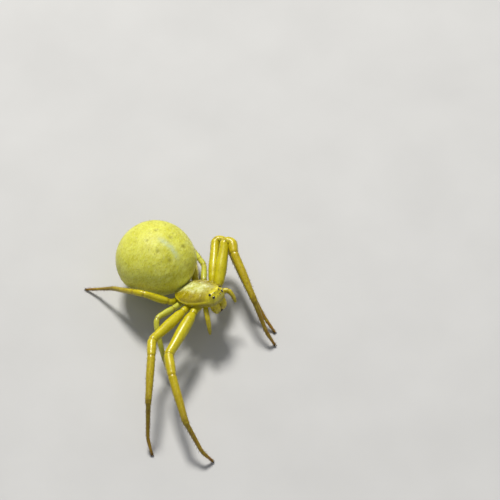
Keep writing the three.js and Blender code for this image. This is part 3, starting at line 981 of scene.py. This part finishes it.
def eye_pieces(material):
    for name, (place, radius) in EYES.items():
        for word, side in (("left", 1), ("right", -1)):
            node = f"{name}_{word}"
            lon = around(28)
            lat = np.linspace(-math.pi / 2 + 0.08, math.pi / 2 - 0.08, 18)
            ring = np.stack([np.cos(lat)[:, None] * np.cos(lon), np.cos(lat)[:, None] * np.sin(lon),
                             np.sin(lat)[:, None] + 0 * lon], axis=-1)
            vertices, faces = lathe(placed(place, side) + ring * radius)
            obj = closed_piece("lens_" + node, vertices, faces, material)
            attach(obj, "root")
            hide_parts(node)


def cone(root, path, radii, sides=6):
    """Vertices and faces of a tapering thorn along a short path of points."""
    points = [root] + list(path)
    rings = []
    for i, p in enumerate(points):
        d = points[min(i + 1, len(points) - 1)] - points[max(i - 1, 0)]
        d = unit(d)
        a = unit(np.cross(d, [0.31, 0.17, 0.93]))
        b = np.cross(d, a)
        angle = around(sides)
        rings.append(p + radii[i] * (np.cos(angle)[:, None] * a + np.sin(angle)[:, None] * b))
    return lathe(np.array(rings))


class Bundle:
    """Many small closed pieces gathered into one mesh."""

    def __init__(self):
        self.vertices = []
        self.faces = []
        self.places = []
        self.count = 0

    def add(self, vertices, faces, place):
        self.faces.extend([tuple(i + self.count for i in f) for f in faces])
        self.vertices.append(vertices)
        self.places.extend([place] * len(faces))
        self.count += len(vertices)

    def grow(self, root, outward, lie, length, thickness, lean, place, droop=0.15):
        """Adds a hair, unless it would come too near the floor."""
        vertices, faces = hair(root, outward, lie, length, thickness, rad(lean), droop)
        if vertices[:, 2].min() >= CLEAR_OF_FLOOR:
            self.add(vertices, faces, place)

    def build(self, name, material, slot):
        obj = closed_piece(name, np.vstack(self.vertices), self.faces, material)
        layer = obj.data.uv_layers.new(name="OFBake")
        for polygon, place in zip(obj.data.polygons, self.places):
            for k, loop in enumerate(polygon.loop_indices):
                angle = 2 * math.pi * k / len(polygon.loop_indices)
                layer.data[loop].uv = (place[0] + PATCH / 2 * math.cos(angle),
                                       place[1] + PATCH / 2 * math.sin(angle))
        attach(obj, "root")


def claw_piece(material):
    claws = Bundle()
    for i, line in enumerate(LEG_LINES.values()):
        c, d, a, _ = line.frame(line.total - TIP_INSET - 0.06)
        for side in (-1, 1):
            root = c + a * side * 0.035
            middle = root + d * 0.1 + np.array([0, 0, 0.035]) + a * side * 0.02
            tip = root + d * 0.17 + a * side * 0.03
            tip[2] = max(0.012, c[2] - 0.085)
            vertices, faces = cone(root, [middle, tip], (0.03, 0.022, 0.004))
            claws.add(vertices, faces, (0.05 + i * 0.1, 0.02 + 0.02 * side))
    claws.build("claws", material, "eye")


# Hair, with places on the coat's map: a strip for each leg, a square for each part of the body

def leg_place(index, share, angle):
    turned = (angle % (2 * math.pi)) / (2 * math.pi)
    return (0.02 + 0.96 * share, (index + 0.1 + 0.8 * turned) * 0.06)


def body_place(column, u, v):
    return (0.02 + 0.32 * column + 0.3 * u, 0.52 + 0.45 * v)


def hair(root, outward, lie, length, thickness, lean, droop):
    """A thin bent cone from a root on the skin."""
    d = unit(outward * math.cos(lean) + lie * math.sin(lean))
    middle = root + d * length * 0.55
    tip = root + unit(d + lie * droop) * length
    start = root - outward * thickness
    return cone(start, [middle, tip], (thickness, thickness * 0.7, thickness * 0.12), sides=3)


def skin_spot(line, radius, s, angle, depth=1.0):
    """A hair's root on a tube, and its ways outward and onward."""
    centre, along, across, other = line.frame(s)
    out = across * math.cos(angle) + other * math.sin(angle)
    r = float(radius(np.array([s]), np.array([angle]))[0])
    return centre + out * r * depth, out, along


def any_angle():
    return rng.random() * 2 * math.pi


def leg_hairs():
    """Short dark bristles that lie towards the foot, on every leg."""
    coat = Bundle()
    for index, (name, line) in enumerate(LEG_LINES.items()):
        count = LEG_HAIRS["front" if LEGS[name]["pair"] < 3 else "rear"]
        start = line.corners[1] + 0.1
        reach = line.total - TIP_INSET - start
        radius = leg_radius(name)
        for k in range(count):
            s = start + reach * ((k + rng.random()) / count) ** 0.85
            angle = any_angle()
            root, out, along = skin_spot(line, radius, s, angle)
            if root[2] < 0.06:
                continue
            share = s / line.total
            coat.grow(root, out, along, vary(0.1, 0.07) * (0.8 + 0.5 * share), 0.008,
                      vary(48, 14), leg_place(index, share, angle))
    return coat


def spine_angles(line, s):
    """The two angles, on either side of straight down, at which a pair of spines stands."""
    _, along, across, other = line.frame(s)
    down = np.array([0, 0, -1.0])
    for side in (-1, 1):
        out = down + np.cross(along, down) * side * 0.75
        yield math.atan2(out @ other, out @ across)


def spines():
    """Paired stout bristles in rows under the tibia and metatarsus of the front legs."""
    coat = Bundle()
    for index, (name, line) in enumerate(LEG_LINES.items()):
        if LEGS[name]["pair"] > 2:
            continue
        radius = leg_radius(name)
        knee_end, ankle, toe = line.corners[3:6]
        for start, end, count in ((knee_end + 0.5, ankle - 0.15, 7), (ankle + 0.2, toe - 0.1, 8)):
            for k in range(count):
                s = start + (end - start) * (k + 0.5) / count
                for angle in spine_angles(line, s):
                    coat.grow(*skin_spot(line, radius, s, angle), 0.3 * vary(0.85, 0.3), 0.022,
                              50, leg_place(index, s / line.total, angle), 0.1)
    return coat


def tarsus_tufts():
    """Dark tufts under the tip of each foot."""
    coat = Bundle()
    for index, (name, line) in enumerate(LEG_LINES.items()):
        radius = leg_radius(name)
        for _ in range(TUFT_HAIRS):
            s = line.total - TIP_INSET - 0.03 - 0.4 * rng.random() ** 1.6
            angle = any_angle()
            coat.grow(*skin_spot(line, radius, s, angle, 0.85), vary(0.1, 0.05), 0.009,
                      58, leg_place(index, s / line.total, angle), 0.2)
    return coat


def abdomen_hairs(coat):
    """Sparse short hairs that lie backward."""
    for _ in range(ABDOMEN_HAIRS):
        y = vary(-0.75, 1.72)
        turn = any_angle()
        flat = math.sqrt(max(0.0, 1 - y * y)) * (1 + ABDOMEN_REAR_SWELL * y)
        local = np.array([flat * math.cos(turn), y, flat * math.sin(turn)]) * ABDOMEN_HALF
        out = unit(local / ABDOMEN_HALF ** 2)
        root = ABDOMEN_CENTRE + local + out * (abdomen_relief(tuple(local)) - ABDOMEN_INSET)
        back = unit(np.array([0, 1.0, -0.2]) - out * out[1])
        coat.grow(root, out, back, vary(0.1, 0.06), 0.007, vary(40, 20),
                  body_place(0, (y + 1) / 2, turn / (2 * math.pi)))


def prosoma_hairs(coat):
    """A few bristles on the prosoma and around the eyes."""
    rings, (f, s, u) = prosoma_rings()
    normals = ring_normals(rings)
    forward = unit(np.array([0, -1.0, 0.25]))
    for _ in range(PROSOMA_HAIRS):
        spot = rng.randrange(12, 108), rng.randrange(4, 63)
        if u[spot] >= 0.15 and f[spot] >= -1.1:
            coat.grow(rings[spot], normals[spot], forward, vary(0.11, 0.09), 0.009, vary(25, 20),
                      body_place(1, (f[spot] + 2) / 4, (s[spot] + 2) / 4))


def body_hairs():
    coat = Bundle()
    abdomen_hairs(coat)
    prosoma_hairs(coat)
    return coat


def mouth_hairs():
    """Fine bristles on the palps and jaws."""
    coat = Bundle()
    lines = [through(palp_points(p), PALP_GIRTH, 8, 0.2)[:2] for p in PALPS.values()]
    lines += [through(jaw_points(side), CHELICERA_GIRTH, 8, 0.2)[:2] for side in (1, -1)]
    for index, (line, radius) in enumerate(lines):
        for _ in range(MOUTH_HAIRS):
            s = 0.35 + (line.total - 0.45) * rng.random()
            coat.grow(*skin_spot(line, radius, s, any_angle()), vary(0.09, 0.07), 0.008,
                      vary(45, 15), body_place(2, s / line.total, index / 4))
    return coat


def fang_pieces(material):
    for word, side in (("left", 1), ("right", -1)):
        root, tip = (placed(p, side) for p in FANG)
        middle = (root + tip) / 2 + np.array([0, -0.04, -0.02])
        vertices, faces = cone(root, [middle, tip], (0.1, 0.08, 0.015), sides=12)
        obj = closed_piece(f"fang_{word}", vertices, faces, material)
        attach(obj, "root")


# Stage, light and camera

def build_stage():
    corners = [(x * FLOOR_HALF, y * FLOOR_HALF, 0) for x, y in ((-1, -1), (1, -1), (1, 1), (-1, 1))]
    floor = make_mesh("floor", corners, [(0, 1, 2, 3)], shift=False)
    n = Nodes("floor")
    tint = n.mix(n.patches((0.3, 0), (0.7, 1), 0.15, 3, 0.5), (0.49, 0.487, 0.48), (0.52, 0.517, 0.51))
    n.set(Base_Color=tint, Roughness=0.75)
    floor.data.materials.append(n.material)


def view_directions():
    a, e = rad(CAMERA_AZIMUTH), rad(CAMERA_ELEVATION)
    back = np.array([math.sin(a) * math.cos(e), -math.cos(a) * math.cos(e), math.sin(e)])
    right = unit(np.cross([0, 0, 1.0], back))
    return right, np.cross(back, right), back


def point_along(obj, way):
    obj.rotation_euler = Vector(way).to_track_quat("-Z", "Y").to_euler()


def add_camera():
    right, up, back = view_directions()
    across, down = ((FRAME_PIXELS / 2 - pixel) / PIXELS_PER_MM for pixel in PROSOMA_PIXEL)
    aim = body_point(0, 0, 0) + SHIFT + right * across - up * down
    data = bpy.data.cameras.new("camera")
    camera = new_object("camera", data)
    camera.location = Vector((aim + back * CAMERA_DISTANCE) * MM)
    point_along(camera, -back)
    data.sensor_width = SENSOR_WIDTH
    data.lens = SENSOR_WIDTH * CAMERA_DISTANCE / (FRAME_PIXELS / PIXELS_PER_MM)
    data.clip_start = 0.005
    data.clip_end = 5
    bpy.context.scene.camera = camera


def add_area_light(name, place, aim, size, power, colour):
    data = bpy.data.lights.new(name, "AREA")
    data.size = size
    data.energy = power
    data.color = colour
    light = new_object(name, data)
    light.location = Vector(place)
    point_along(light, Vector(aim) - Vector(place))


def add_lights():
    right, up, back = view_directions()
    middle = (SHIFT + np.array([-0.5, 1.0, 2.5])) * MM
    flat_up = unit(np.array([up[0], up[1], 0]))
    key = middle + (flat_up * 0.20 - right * 0.05 + np.array([0, 0, 0.30]))
    add_area_light("key", key, middle, **KEY_LIGHT)
    fill = middle + back * 0.4 + right * 0.12
    add_area_light("fill", fill, middle, **FILL_LIGHT)
    world = bpy.data.worlds.new("world")
    world.use_nodes = True
    sky = world.node_tree.nodes["Background"]
    sky.inputs["Color"].default_value = SKY["colour"]
    sky.inputs["Strength"].default_value = SKY["strength"]
    bpy.context.scene.world = world
    # Plain colours: the softer transform would wash the yellow out.
    bpy.context.scene.view_settings.view_transform = "Standard"


add_camera()
add_lights()
build_stage()

skin = build_skin()
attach(skin, "root")
flesh_nodes = [f"{leg}_{part}" for leg in LEGS for part in ("coxa", "femur", "patella", "tibia", "foot")]
flesh_nodes += ["prosoma", "abdomen", "spinnerets"]
flesh_nodes += [f"{kind}_{side}" for kind in ("chelicera", "palp") for side in ("left", "right")]
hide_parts(*flesh_nodes)

eye_pieces(two_tone("eye", 9.0, (0.012, 0.008, 0.006), (0.035, 0.016, 0.01),
                    Roughness=0.06, Coat_Weight=0.6, Coat_Roughness=0.03, IOR=1.6))
horn = two_tone("claw", 16.0, (0.012, 0.008, 0.006), (0.05, 0.02, 0.01), Roughness=0.25, IOR=1.5)
claw_piece(horn)
fang_pieces(horn)
bristle = hair_material("bristle", (0.10, 0.05, 0.012), (0.26, 0.15, 0.03))
pale_hair = hair_material("pale_hair", (0.34, 0.28, 0.06), (0.5, 0.44, 0.12))
dark = hair_material("dark_hair", (0.012, 0.008, 0.006), (0.05, 0.025, 0.012))
leg_hairs().build("leg_bristles", bristle, "leg_skin")
spines().build("leg_spines", bristle, "leg_skin")
tarsus_tufts().build("foot_tufts", dark, "leg_skin")
body_hairs().build("body_hairs", pale_hair, "abdomen_skin")
mouth_hairs().build("mouth_hairs", bristle, "body_skin")
